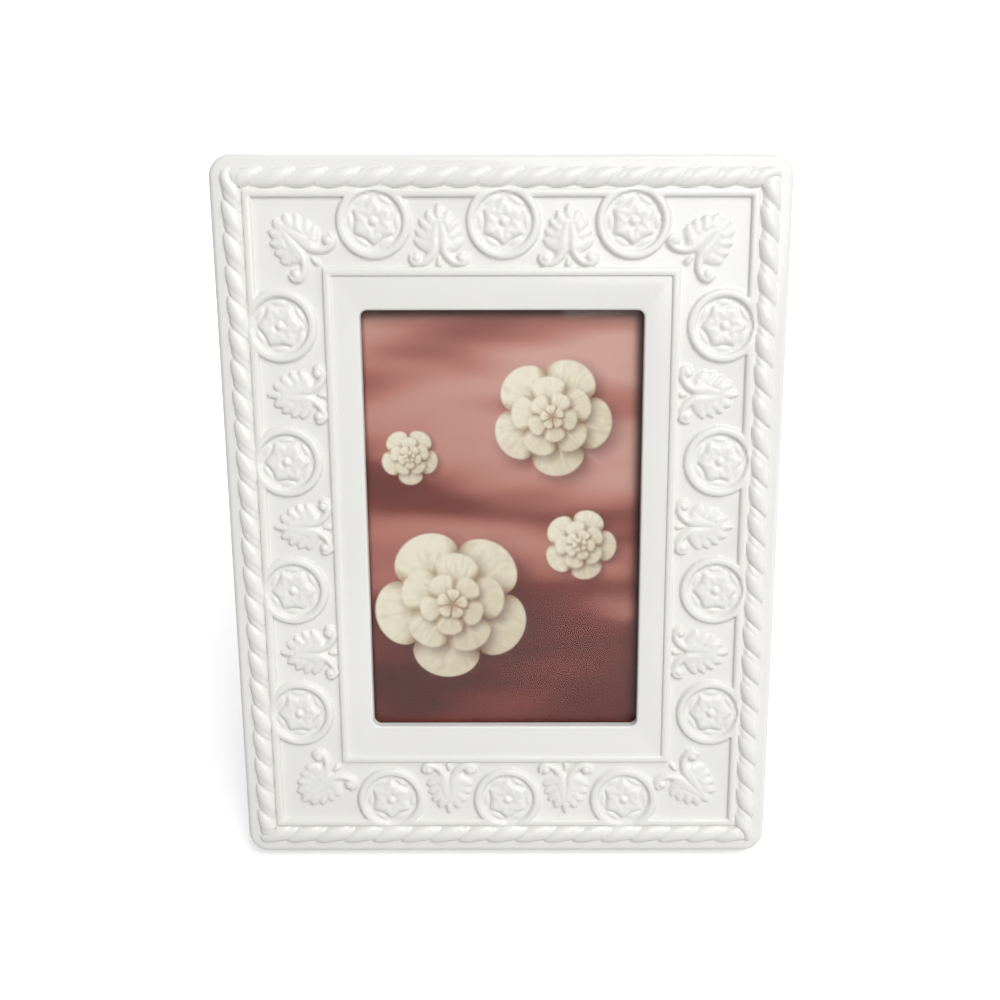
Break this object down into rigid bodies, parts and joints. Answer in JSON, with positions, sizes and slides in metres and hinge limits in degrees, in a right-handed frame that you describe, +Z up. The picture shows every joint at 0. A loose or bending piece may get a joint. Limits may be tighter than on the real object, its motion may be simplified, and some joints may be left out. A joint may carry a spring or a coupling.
{
  "type": "porcelain picture frame",
  "caption": "Upright white glazed porcelain picture frame with a rope edge and raised rosette and acanthus ornament, a glazed window and a velvet easel back with a folding strut.",
  "frame": {"origin": "on the table top, under the middle of the object's bounding box", "axes": "+Z up, +X to the right of someone who looks at the picture, +Y away from them, to the strut's side"},
  "size_m": [0.1938, 0.0892, 0.2468],
  "materials": {
    "porcelain": "white glazed porcelain",
    "glass": "clear float glass",
    "print": "satin photographic paper",
    "card": "grey-brown board",
    "fibreboard": "bare fibreboard",
    "velvet": "charcoal velvet",
    "brass": "polished brass",
    "steel": "nickel-plated steel",
    "ribbon": "charcoal satin ribbon"
  },
  "bodies": {
    "frame": {"porcelain_body": "porcelain", "glass_pane": "glass", "photo_print": "print", "filler_card": "card", "back_board": "fibreboard", "back_velvet": "velvet", "turn_button_rivet_1": "brass", "turn_button_rivet_2": "brass", "turn_button_rivet_3": "brass", "turn_button_rivet_4": "brass", "hinge_board_leaf": "steel", "hinge_pin": "steel", "board_leaf_rivet_1": "steel", "board_leaf_rivet_2": "steel", "board_leaf_rivet_3": "steel", "ribbon_board_rivet": "brass", "stay_ribbon": "ribbon"},
    "strut": {"strut_board": "fibreboard", "strut_outer_velvet": "velvet", "strut_inner_velvet": "velvet", "hinge_strut_leaf": "steel", "strut_leaf_rivet_1": "steel", "strut_leaf_rivet_2": "steel", "strut_leaf_rivet_3": "steel", "ribbon_strut_rivet": "brass"},
    "button_1": {"turn_button_1": "brass"},
    "button_2": {"turn_button_2": "brass"},
    "button_3": {"turn_button_3": "brass"},
    "button_4": {"turn_button_4": "brass"}
  },
  "joints": [
    {"name": "strut_fold", "type": "hinge", "parent": "frame", "child": "strut", "pos_m": [0, 0.00971, 0.15786], "axis": [-1, 0, 0], "range_deg": [0, 24], "deforming": ["stay_ribbon"]},
    {"name": "button_turn_1", "type": "hinge", "parent": "frame", "child": "button_1", "pos_m": [-0.0796, 0.01687, 0.19689], "axis": [0, -0.9703, 0.2419], "range_deg": [0, 90]},
    {"name": "button_turn_2", "type": "hinge", "parent": "frame", "child": "button_2", "pos_m": [0.0796, 0.01687, 0.19689], "axis": [0, 0.9703, -0.2419], "range_deg": [0, 90]},
    {"name": "button_turn_3", "type": "hinge", "parent": "frame", "child": "button_3", "pos_m": [-0.0796, -0.02019, 0.04824], "axis": [0, 0.9703, -0.2419], "range_deg": [0, 90]},
    {"name": "button_turn_4", "type": "hinge", "parent": "frame", "child": "button_4", "pos_m": [0.0796, -0.02019, 0.04824], "axis": [0, -0.9703, 0.2419], "range_deg": [0, 90]}
  ]
}
